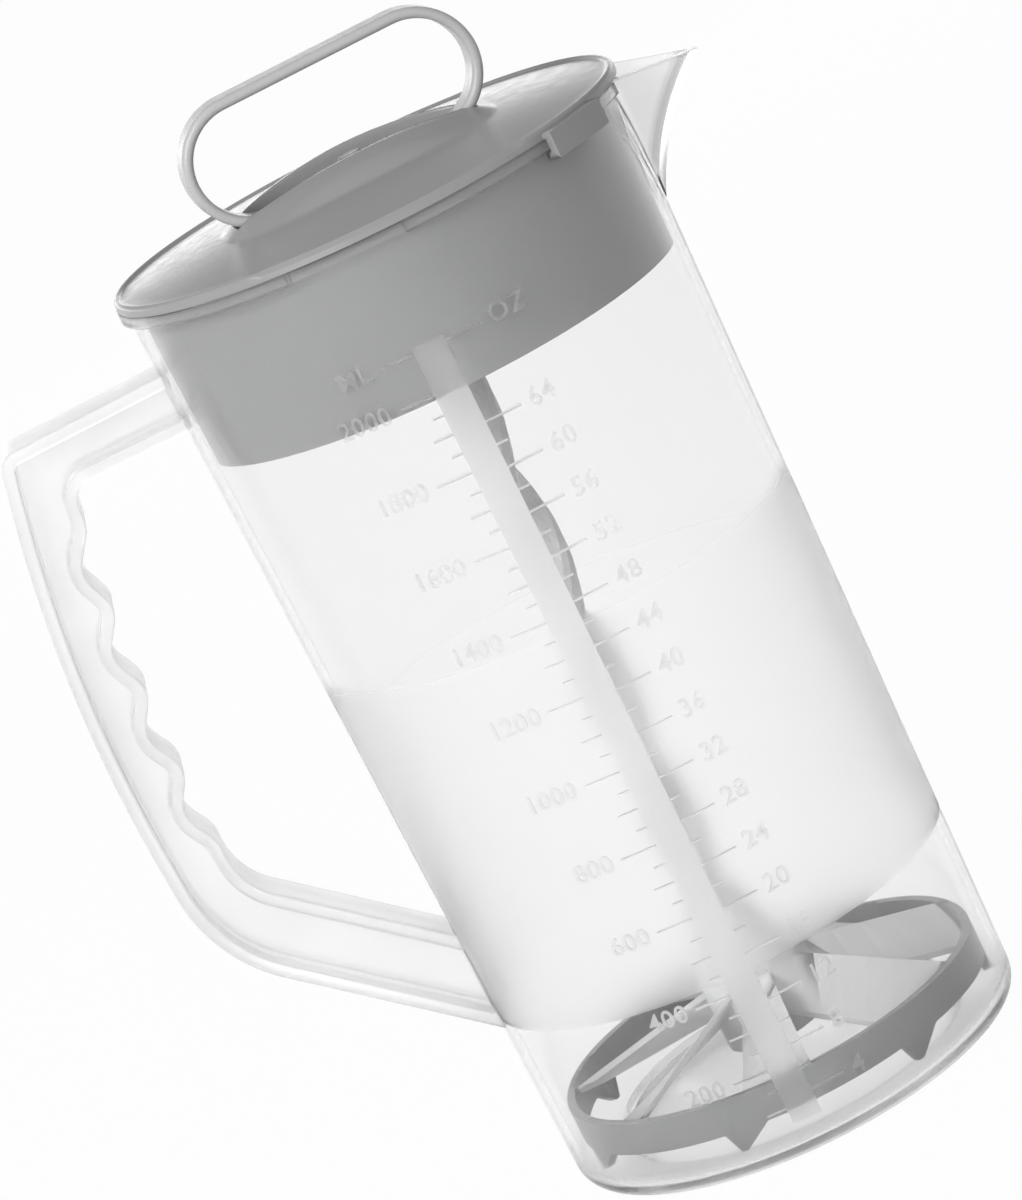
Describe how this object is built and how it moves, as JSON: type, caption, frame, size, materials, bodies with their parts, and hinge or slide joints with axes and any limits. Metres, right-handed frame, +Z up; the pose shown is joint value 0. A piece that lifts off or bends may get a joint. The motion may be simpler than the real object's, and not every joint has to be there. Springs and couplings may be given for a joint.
{
  "type": "mixing pitcher",
  "caption": "Tall tapered pitcher with V spout and open side handle, twist-on lid with deep collar, and a loop-grip plunger whose twisted shaft spins a bladed mixing wheel.",
  "frame": {"origin": "centre of the jug's foot, on the plane it stands on", "axes": "+Z up along the jug's axis, +X towards the spout, -X towards the handle"},
  "size_m": [0.1968, 0.1282, 0.2735],
  "materials": {
    "jug": "translucent, milky between the lid's collar and the wheel",
    "lid": "smooth semi-gloss grey",
    "plunger": "smooth semi-gloss grey"
  },
  "bodies": {
    "jug": {"jug_body": "jug", "jug_handle": "jug"},
    "lid": {"lid": "lid"},
    "grip": {"plunger_grip": "plunger"},
    "agitator": {"plunger_shaft": "plunger", "mixing_wheel": "plunger"}
  },
  "joints": [
    {"name": "lid_turn", "type": "hinge", "parent": "jug", "child": "lid", "pos_m": [0, 0, 0.239], "axis": [0, 0, 1], "range_deg": [-105, 0]},
    {"name": "plunger_lift", "type": "slide", "parent": "lid", "child": "grip", "axis": [0, 0, 1], "range_m": [0, 0.188]},
    {"name": "agitator_spin", "type": "hinge", "parent": "grip", "child": "agitator", "pos_m": [0, 0, 0.2424], "axis": [0, 0, 1], "range_deg": [0, 892.5]}
  ],
  "couplings": [
    {"joint": "agitator_spin", "follows": "plunger_lift", "rad_per_m": 82.673}
  ]
}
